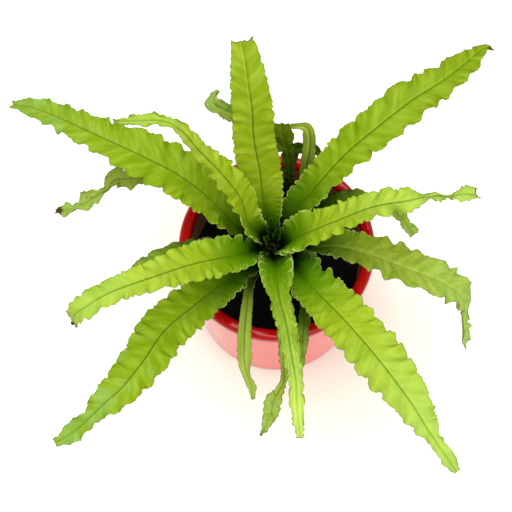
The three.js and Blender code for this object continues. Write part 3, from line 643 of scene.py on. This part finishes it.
def leaf_material(name, heart_painted_shade, base, middle, tip, streaks, margin, rib, shine, old_rim=0x5E7C0C, blotch=None,
                  blotches=0.0, lengthwise=False, painted_sheen=0.0):
    """Fern blade: a waxy living sheet that lets some light through, so it glows where it is thin."""
    material, node = make_material(name)
    on_blade, state, look = (
        node("ShaderNodeAttribute", attribute_name=mark).outputs["Vector"]
        for mark in ("on_blade", "blade_state", "blade_look"))
    run, across, seed = node(SPLIT, on_blade).outputs
    share, outward, withered = node(SPLIT, state).outputs
    underside, pale, shade = node(SPLIT, look).outputs

    # Greens from the base, darkened with painted shade, to the tip, mottled
    mottle = node(NOISE, on_blade, 1 / (LEAF_MOTTLE * MM), 3.0)
    along = node(RANGE, node("MULTIPLY_ADD", mottle, 0.3, share), 0.5, 1.15, interpolation_type="SMOOTHSTEP")
    colour = node(MIX, node("MULTIPLY", along, pale), linear(middle), linear(tip), data_type="RGBA")
    from_root = node("DIVIDE", node("MULTIPLY_ADD", mottle, SHADE_WANDER * MM, run), shade)
    shaded = node(RANGE, from_root, 0.55, 1.15, 1, 0, interpolation_type="SMOOTHSTEP")
    lit = node("SUBTRACT", 1, shaded)
    layers = [(shaded, linear(base))]

    # Pale and deep streaks that run with the veins, slanting out from the midrib or along the blade
    side = node("ABSOLUTE", across)
    if lengthwise:
        slant, width, onward, length = across, VEIN_SPACING, run, 30
    else:
        slant, width, onward, length = node("MULTIPLY_ADD", side, -0.8, run), 5.5, across, 16
    lane = node("MULTIPLY", slant, 1 / (width * MM))
    streak = node(NOISE, node(JOIN, lane, node("MULTIPLY", onward, 1 / (length * MM)), seed), 1.0, 2.5)
    light = node("MULTIPLY", node(RANGE, streak, 0.47, 0.7, 0, 0.34), lit)
    layers += [(light, linear(streaks)), (node(RANGE, streak, 0.5, 0.3, 0, 0.24), linear(base))]

    # Painted sheen: pale bluish patches on the outer part, a painted reflection of the sky
    if painted_sheen:
        patches = node("MULTIPLY_ADD", share, 0.9, node(NOISE, on_blade, 1 / (PAINTED_SHEEN_PATCH * MM), 1.5))
        layers.append((node(RANGE, patches, 1.12, 1.45, 0, painted_sheen), linear(PAINTED_SHEEN)))

    # Veins
    wander = node(NOISE, on_blade, 1 / (5 * MM), 2.0)
    vein = node("MULTIPLY", slant, math.tau / (VEIN_SPACING * MM))
    vein = node("SINE", node("MULTIPLY_ADD", wander, 7.0, vein))
    layers.append((node(RANGE, vein, 0.2, 1, 0, 0.1), linear(base)))

    # Midrib, with a painted highlight beside it: a pale line just off the midrib
    on_rib = node(RANGE, side, 0.15 * MM, 0.9 * MM, 1, 0, interpolation_type="SMOOTHSTEP")
    for part in (node(RANGE, share, 0.12, 0.35, 0.2, 0.7), node(RANGE, share, 0.7, 0.95, 1, 0.35)):
        on_rib = node("MULTIPLY", on_rib, part)
    painted_rib_highlight = node("ABSOLUTE", node("SUBTRACT", across, 1.3 * MM))
    painted_rib_highlight = node("MULTIPLY", node(RANGE, painted_rib_highlight, 0.1 * MM, 0.6 * MM, 0.5, 0), lit)
    layers += [(on_rib, linear(rib)), (node("MULTIPLY", painted_rib_highlight, mottle), linear(streaks))]

    # Margin: pale near the base, partly a painted highlight where the edge catches light, and older further
    # out; and the painted shade at the heart of the plant
    rim_age = node(RANGE, node("MULTIPLY_ADD", mottle, 0.7, share), 0.6, 0.85)
    rim = node(MIX, rim_age, linear(margin), linear(old_rim), data_type="RGBA")
    edge = node("SUBTRACT", node("DIVIDE", side, outward), side)
    layers.append((node(RANGE, edge, 0.1 * MM, 0.6 * MM, 0.8, 0), rim))
    # Painted shade: the near-black green of the heart, where the leaf bases stand in each other's shade
    heart_shade_mask = node(RANGE, from_root, 0.3, 0.65, 1, 0, interpolation_type="SMOOTHSTEP")
    layers.append((heart_shade_mask, linear(heart_painted_shade)))

    # Brown blotches of an old leaf, the withered end and the duller underside
    if blotch is not None:
        stain = node(NOISE, on_blade, 1 / (BLOTCH_SIZE * MM), 3.0, 0.6)
        layers.append((node(RANGE, stain, 0.56, 0.72, 0, blotches), linear(blotch)))
    fray = node("MULTIPLY_ADD", node(NOISE, on_blade, 1 / (2.5 * MM), 3.0), 0.9, withered)
    dry = node("MULTIPLY", node(RANGE, fray, 0.62, 1.0), withered)
    layers.append((node(RANGE, dry, 0, 0.3, 0, 0.95), linear(WITHERED)))
    layers.append((node("MULTIPLY", underside, 0.35), linear(UNDERSIDE)))
    for cover, paint in layers:
        colour = node(MIX, cover, colour, paint, data_type="RGBA")

    # Veins stand up to 0.15 mm proud, over a fine leathery grain
    grain = node(NOISE, on_blade, 1 / (0.9 * MM), 2.0)
    relief = node("MULTIPLY_ADD", vein, 0.35, grain)
    bump = node(BUMP, {"Height": relief, "Strength": 0.35, "Distance": 0.15 * MM})
    rough = node(RANGE, mottle, 0, 1, shine - 0.06, shine + 0.1)
    skin = node(SURFACE, {
        "Base Color": colour, "Roughness": rough, "IOR": 1.42, "Specular IOR Level": 0.14, "Normal": bump})
    glow = node("ShaderNodeBsdfTranslucent", {"Color": colour, "Normal": bump})
    node(OUTPUT, node("ShaderNodeMixShader", 0.22, skin, glow))
    return material


def make_leaf_finishes():
    """Colours in order: the painted shade of the heart, the base (painted shade, also used for the veins and
    deep streaks), the middle, the tip, the streaks, the margin (partly a painted highlight) and the midrib,
    then the roughness and, on an old leaf, its rim and its blotches."""
    return {
        "leaf_bright": leaf_material(
            "living_leaf_bright_waxy", 0x0A2A06, 0x588800, 0x98B214, 0xC0DE74, 0xC4D858, 0xDCEA84,
            0x456C00, 0.42, painted_sheen=0.25),
        "leaf_painted_sheen": leaf_material(
            "living_leaf_painted_sheen_waxy", 0x0A2606, 0x507A00, 0x86A40C, 0x7E9A14, 0xBAD052, 0xD8E67C,
            0x3E6400, 0.42, painted_sheen=0.5),
        "leaf_deep": leaf_material(
            "living_leaf_deep_waxy", 0x0A2606, 0x4E7A00, 0x84A20A, 0x78920A, 0xB4CC48, 0xD8E67C,
            0x3A5C00, 0.42),
        "leaf_olive": leaf_material(
            "living_leaf_olive_waxy", 0x0A2A06, 0x588600, 0x9CB41A, 0x809C0A, 0xC0D454, 0xDCEA84,
            0x426600, 0.42),
        "leaf_dark": leaf_material(
            "mature_leaf_waxy", 0x081E04, 0x466804, 0x86A018, 0xACC860, 0xC0D064, 0xD0E090,
            0xA8BC54, 0.45, 0x4A4414, 0x4A3C18, 0.42, painted_sheen=0.3),
        # A darker, olive copy for the low back fronds in the others' shade: painted shade, over an old
        # leaf's own blotches
        "leaf_shaded": leaf_material(
            "old_leaf_olive_painted_shade", 0x0A1A02, 0x304A00, 0x70880A, 0x849A14, 0x92A634, 0x5C6C18,
            0x50600A, 0.48, 0x3A340C, 0x3C3608, 0.5),
        "leaf_strap": leaf_material(
            "old_leaf_long_veined", 0x183004, 0x4E6C0C, 0x8EA42A, 0xA8C060, 0xBCCC74, 0xC6D088,
            0x5C7A1C, 0.48, 0x6A6020, 0x6A5824, 0.25, lengthwise=True),
        "leaf_streaked": leaf_material(
            "living_leaf_folded_waxy", 0x0A2A06, 0x588800, 0x88A812, 0xC8E470, 0xC4D85C, 0xD6E47C,
            0x527E00, 0.42, lengthwise=True),
        "leaf_speckled": leaf_material(
            "old_leaf_speckled", 0x0A1C04, 0x3A5A00, 0x8A9E22, 0xA0B84C, 0xA8BA52, 0x4A4A10,
            0x56680A, 0.48, 0x3A340C, 0x3C3608, 0.7, painted_sheen=0.35),
        "leaf_young": leaf_material(
            "young_leaf_glossy", 0x0A2A06, 0x1E5008, 0x347814, 0x5C9030, 0x4A8A1C, 0x6A9A40,
            0x1C4408, 0.28),
    }


def pot_glaze():
    """Fired glaze over clay: a hard shine, deep red where it lies thick on the rim, and paler down the wall,
    where the lighter red partly paints the pale reflection the wall shows when seen at a glancing angle.
    """
    material, node = make_material("glazed_ceramic_red_gloss")
    place = node("ShaderNodeTexCoord").outputs["Object"]
    cloud = node(NOISE, place, 1 / (30 * MM), 3.0)
    rim = node(MIX, cloud, linear(0xA00208), linear(0xB8080E), data_type="RGBA")
    # Paler red on the wall: partly painted reflection
    wall = node(MIX, cloud, linear(0xDA2C32), linear(0xEA4046), data_type="RGBA")
    height = node(SPLIT, place).outputs["Z"]
    neck = POT_HEIGHT - RIM_DEPTH
    thick = node(RANGE, node("MULTIPLY_ADD", cloud, 2 * MM, height), (neck - 2) * MM, (neck + 2) * MM)
    colour = node(MIX, thick, wall, rim, data_type="RGBA")
    ripple = node(NOISE, place, 1 / (9 * MM), 1.0)
    bump = node(BUMP, {"Height": ripple, "Strength": 0.25, "Distance": 0.4 * MM})
    node(OUTPUT, node(SURFACE, {
        "Base Color": colour, "Roughness": 0.08, "IOR": 1.52, "Specular IOR Level": 0.3, "Normal": bump}))
    return material


def pot_clay():
    """Bare fired clay inside the pot, stained dark by wet soil."""
    material, node = make_material("terracotta_bare_stained")
    place = node("ShaderNodeTexCoord").outputs["Object"]
    cloud = node(NOISE, place, 1 / (14 * MM), 5.0)
    colour = node(MIX, cloud, linear(0x5A3418), linear(0x9A6234), data_type="RGBA")
    grit = node(NOISE, place, 1 / (0.8 * MM), 3.0)
    bump = node(BUMP, {"Height": grit, "Strength": 0.5, "Distance": 0.2 * MM})
    node(OUTPUT, node(SURFACE, {"Base Color": colour, "Roughness": 0.85, "Normal": bump}))
    return material


def peat(name, dark, light, grain):
    """Damp peat and bark: crumbly, with no shine, and almost black, which in the soil and the crown is
    partly painted shade.
    """
    material, node = make_material(name)
    place = node("ShaderNodeTexCoord").outputs["Object"]
    crumb = node(NOISE, place, 1 / (grain * MM), 4.0, 0.7)
    colour = node(MIX, node(RANGE, crumb, 0.4, 0.75), linear(dark), linear(light), data_type="RGBA")
    bump = node(BUMP, {"Height": crumb, "Strength": 0.9, "Distance": 0.8 * MM})
    node(OUTPUT, node(SURFACE, {
        "Base Color": colour, "Roughness": 0.95, "Specular IOR Level": 0.2, "Normal": bump}))
    return material


# Pot, soil and crown

def lathe(name, profile, sides, materials, pick=None):
    """A closed turned shape from a profile of (radius, height) in mm that starts and ends on the axis."""
    turns = [math.tau * k / sides for k in range(sides)]
    ring = [(math.cos(turn), math.sin(turn)) for turn in turns]
    points = [(0, 0, profile[0][1])]
    for radius, height in profile[1:-1]:
        points += [(radius * c, radius * s, height) for c, s in ring]
    points.append((0, 0, profile[-1][1]))
    faces = []
    for k in range(sides):
        after = (k + 1) % sides
        faces.append((0, 1 + after, 1 + k))
        for row in range(len(profile) - 3):
            a = 1 + row * sides
            faces.append((a + k, a + after, a + sides + after, a + sides + k))
        last = 1 + (len(profile) - 3) * sides
        faces.append((last + k, last + after, len(points) - 1))
    mesh = bpy.data.meshes.new(name)
    mesh.from_pydata([(x * MM, y * MM, z * MM) for x, y, z in points], [], faces)
    for material in materials:
        mesh.materials.append(material)
    mesh.shade_smooth()
    if pick:
        for face in mesh.polygons:
            face.material_index = pick(face.center / MM)
    return put(name, mesh)


def arc(centre, radius, start, end, steps):
    """Points of an arc in the profile plane, angles in degrees from straight out."""
    for k in range(steps + 1):
        turn = math.radians(start + (end - start) * k / steps)
        yield centre[0] + radius * math.cos(turn), centre[1] + radius * math.sin(turn)


def make_pot():
    neck = POT_HEIGHT - RIM_DEPTH
    profile = [(0, 0), (FOOT_RADIUS - 2, 0), *arc((FOOT_RADIUS, 5), 4.6, -90, -10, 8)]
    for k in range(1, WALL_STEPS + 1):
        f = k / WALL_STEPS
        profile.append((BODY_RADIUS_FOOT + f * (BODY_RADIUS_TOP - BODY_RADIUS_FOOT), 6 + f * (neck - 9)))
    profile += [(BODY_RADIUS_TOP - 0.2, neck - 1.8), (BODY_RADIUS_TOP + 0.2, neck - 0.8)]
    profile += list(arc((RIM_RADIUS - 4, neck + 3.4), 4, -45, 0, 6))
    profile += list(arc((RIM_RADIUS - 4.2, POT_HEIGHT - 4.2), 4.2, 0, 88, 12))
    profile += list(arc((MOUTH_RADIUS + 3.6, POT_HEIGHT - 4), 3.6, 96, 180, 10))
    for k in range(INNER_STEPS + 1):
        f = k / INNER_STEPS
        profile.append((MOUTH_RADIUS - 0.2 - 3.3 * f, POT_HEIGHT - 7 - f * (POT_HEIGHT - FLOOR - 13)))
    profile += [(BODY_RADIUS_FOOT - 9, FLOOR + 2), (BODY_RADIUS_FOOT - 12, FLOOR), (0, FLOOR)]
    bare = POT_HEIGHT - GLAZE_INSIDE

    def pick(centre):
        reach = math.hypot(centre.x, centre.y)
        inside = reach < MOUTH_RADIUS + 0.4 and FLOOR - 1 < centre.z < bare
        return 1 if inside or centre.z < 0.1 else 0

    pot = lathe("pot_glazed", profile, POT_SIDES, [pot_glaze(), pot_clay()], pick)
    settle(pot, "pot", "pot")


def bore(height):
    low, high = FLOOR + 6, POT_HEIGHT - RIM_DEPTH - 4
    share = (height - low) / (high - low)
    return BODY_RADIUS_FOOT - 7 + share * (MOUTH_RADIUS - 0.5 - (BODY_RADIUS_FOOT - 7))


def soil_height(x, y):
    return SOIL_LEVEL + SOIL_UNEVEN * 0.5 * (
        math.sin(0.19 * x + 1) * math.cos(0.17 * y) + math.sin(0.31 * y + 0.12 * x + 2))


def crumb_tree():
    """Strews lumps of peat and bark over the upward faces of the soil."""
    tree, node, given = begin_tree("soil_crumbs", "Smallest", "Largest", "Density", "Lowest")
    up = node(SPLIT, node("GeometryNodeInputPosition")).outputs["Z"]
    spread = node("GeometryNodeDistributePointsOnFaces", {
        "Mesh": given["Shape"], "Selection": node("GREATER_THAN", up, given["Lowest"]),
        "Density": given["Density"], "Seed": given["Seed"]})
    ball = node("GeometryNodeMeshIcoSphere", {"Radius": 1.0, "Subdivisions": 2})
    rough = node(NOISE, {"Scale": 1.3, "Detail": 1.0}).outputs["Color"]
    push = node(VECTOR, rough, (-0.5, -0.5, -0.5), operation="ADD")
    ball = node("GeometryNodeSetPosition", {"Geometry": ball, "Offset": push})
    size = node(RANDOM, given["Smallest"], given["Largest"], {"Seed": given["Seed"]})
    shape = node(RANDOM, (0.6, 0.6, 0.4), (1.5, 1.0, 0.9), {"Seed": 5}, data_type="FLOAT_VECTOR")
    scale = node(VECTOR, shape, size, operation="SCALE")
    turn = node(RANDOM, (0, 0, 0), FULL_TURN, {"Seed": 9}, data_type="FLOAT_VECTOR")
    strewn = node(STREW, {"Points": spread, "Instance": ball, "Rotation": turn, "Scale": scale})
    end_tree(node, strewn, given)
    return tree


def make_soil():
    top = bore(SOIL_LEVEL) - GAP - 0.2
    profile = [(0, FLOOR + GAP), (BODY_RADIUS_FOOT - 13, FLOOR + GAP), (BODY_RADIUS_FOOT - 7.6, FLOOR + 6.5),
               (top, SOIL_LEVEL - 1)]
    profile += [(top - k * 1.5, SOIL_LEVEL) for k in range(40)] + [(0, SOIL_LEVEL)]
    # Near-black, darker than the peat's own colour: painted shade of the leaves over the soil
    earth = peat("potting_peat_damp_painted_shade", 0x030303, 0x100B08, 2.5)
    soil = lathe("soil_bed", profile, SOIL_SIDES, [earth])
    for point in soil.data.vertices:
        x, y, z = point.co / MM
        if z > SOIL_LEVEL - 2:
            point.co.z = soil_height(x, y) * MM
    crumbs = put("soil_crumbs", soil.data.copy())
    grow(crumbs, crumb_tree(), Smallest=0.5 * MM, Largest=1.9 * MM, Lowest=(SOIL_LEVEL - 1.5) * MM,
         Density=CRUMBS_PER_SQUARE_METRE, Seed=4, Finish=earth)
    settle(soil, "soil", "soil")
    settle(crumbs, "soil")


def scale_tree():
    """Covers the crown with thin pointed scales that lie upwards over each other."""
    tree, node, given = begin_tree("crown_scales", "Length", "Width", "Thickness", "Density", "Lowest")
    up = node(SPLIT, node("GeometryNodeInputPosition")).outputs["Z"]
    spread = node("GeometryNodeDistributePointsOnFaces", {
        "Mesh": given["Shape"], "Selection": node("GREATER_THAN", up, given["Lowest"]),
        "Density": given["Density"], "Seed": given["Seed"]})
    leaning = node(VECTOR, spread.outputs["Normal"], 0.55, operation="SCALE")
    stray = node(RANDOM, (-0.35, -0.35, 0.5), (0.35, 0.35, 0.9), {"Seed": 3}, data_type="FLOAT_VECTOR")
    leaning = node(VECTOR, leaning, stray, operation="ADD")
    turn = node("FunctionNodeAlignRotationToVector", {"Vector": leaning}, axis="Z")

    # One scale: a flat cone, bent by the square of the height
    blade = node("GeometryNodeMeshCone", {
        "Vertices": 6, "Side Segments": 3, "Radius Top": 0.0, "Radius Bottom": 0.5, "Depth": 1.0})
    height = node(SPLIT, node("GeometryNodeInputPosition")).outputs["Z"]
    bend = node(JOIN, {"Y": node("MULTIPLY", height, height)})
    blade = node("GeometryNodeSetPosition", {"Geometry": blade, "Offset": bend})
    size = node(JOIN, given["Width"], given["Thickness"], given["Length"])
    size = node(VECTOR, size, node(RANDOM, 0.6, 1.3, {"Seed": 8}), operation="SCALE")
    strewn = node(STREW, {"Points": spread, "Instance": blade, "Rotation": turn, "Scale": size})
    end_tree(node, strewn, given)
    return tree


def shoot_tree():
    """Stands a coiled new shoot on each given point, as large as the point's own size."""
    tree, node, given = begin_tree("curled_shoots", "Turns", "Tip", "Stem")
    coil = node("GeometryNodeCurveSpiral", {
        "Resolution": 20, "Rotations": given["Turns"], "Start Radius": 0.28, "End Radius": 0.95,
        "Height": 0.0})
    along = node("GeometryNodeSplineParameter").outputs["Factor"]
    stem = node(RANGE, along, 0, 1, given["Tip"], given["Stem"])
    coil = node("GeometryNodeSetCurveRadius", {"Curve": coil, "Radius": stem})
    ring = node("GeometryNodeCurvePrimitiveCircle", {"Resolution": 10, "Radius": 1.0})
    tube = node("GeometryNodeCurveToMesh", {"Curve": coil, "Profile Curve": ring, "Fill Caps": True})
    tube = node("GeometryNodeTransform", {"Geometry": tube, "Rotation": (math.pi / 2, 0, 0)})
    heading = node(
        RANDOM, (-0.4, -0.3, 0), (0.4, 0.3, 6.28), {"Seed": given["Seed"]}, data_type="FLOAT_VECTOR")
    stood = node(STREW, {
        "Points": given["Shape"], "Instance": tube, "Rotation": heading, "Scale": node(READ, "shoot_size")})
    end_tree(node, node("GeometryNodeSetShadeSmooth", stood), given)
    return tree


def make_crown():
    # Near-black: the crown's own dark scales, made darker still as painted shade of the hollow among the
    # leaf bases
    bark = peat("crown_scales_dark_painted_shade", 0x020200, 0x080602, 3.0)
    profile = [(0, SOIL_LEVEL - CROWN_PLUG_DEPTH), (CROWN_PLUG_RADIUS, SOIL_LEVEL - CROWN_PLUG_DEPTH),
               (CROWN_PLUG_RADIUS, SOIL_LEVEL + GAP), (CROWN_RADIUS, SOIL_LEVEL + GAP),
               (CROWN_RADIUS + 0.5, SOIL_LEVEL + 6), (CROWN_RADIUS - 1.5, SOIL_LEVEL + 15),
               (CROWN_RADIUS - 6, CROWN_TOP - 4), (6, CROWN_TOP - 1), (0, CROWN_TOP)]
    crown = lathe("crown_stub", profile, CROWN_SIDES, [bark])
    for point in crown.data.vertices:
        point.co += Vector((CROWN_X, CROWN_Y, 0)) * MM
    scales = put("crown_scales", crown.data.copy())
    # The scales too are partly painted shade of the hollow
    papery = peat("crown_scales_papery_painted_shade", 0x040402, 0x140E06, 1.5)
    grow(scales, scale_tree(), Length=5.5 * MM, Width=1.5 * MM, Thickness=0.35 * MM,
         Density=SCALES_PER_SQUARE_METRE, Lowest=(SOIL_LEVEL + 2) * MM, Seed=6, Finish=papery)
    mesh = bpy.data.meshes.new("crown_shoots")
    spots = [((CROWN_X + x) * MM, (CROWN_Y + y) * MM, (CROWN_TOP + 0.6 * size) * MM)
             for x, y, size in SHOOTS]
    mesh.from_pydata(spots, [], [])
    mesh.attributes.new("shoot_size", "FLOAT", "POINT").data.foreach_set(
        "value", [0.7 * size * MM for _, _, size in SHOOTS])
    shoots = put("crown_shoots", mesh)
    felt = peat("shoot_felt_brown", 0x0E0E04, 0x3E3C18, 0.8)
    grow(shoots, shoot_tree(), Turns=1.6, Tip=0.18, Stem=0.3, Seed=12, Finish=felt)
    settle(crown, "crown", "crown")
    settle(scales, "crown")
    settle(shoots, "crown")


make_camera()
make_studio()
make_floor()
make_pot()
make_soil()
make_crown()
make_fronds(make_leaf_finishes())
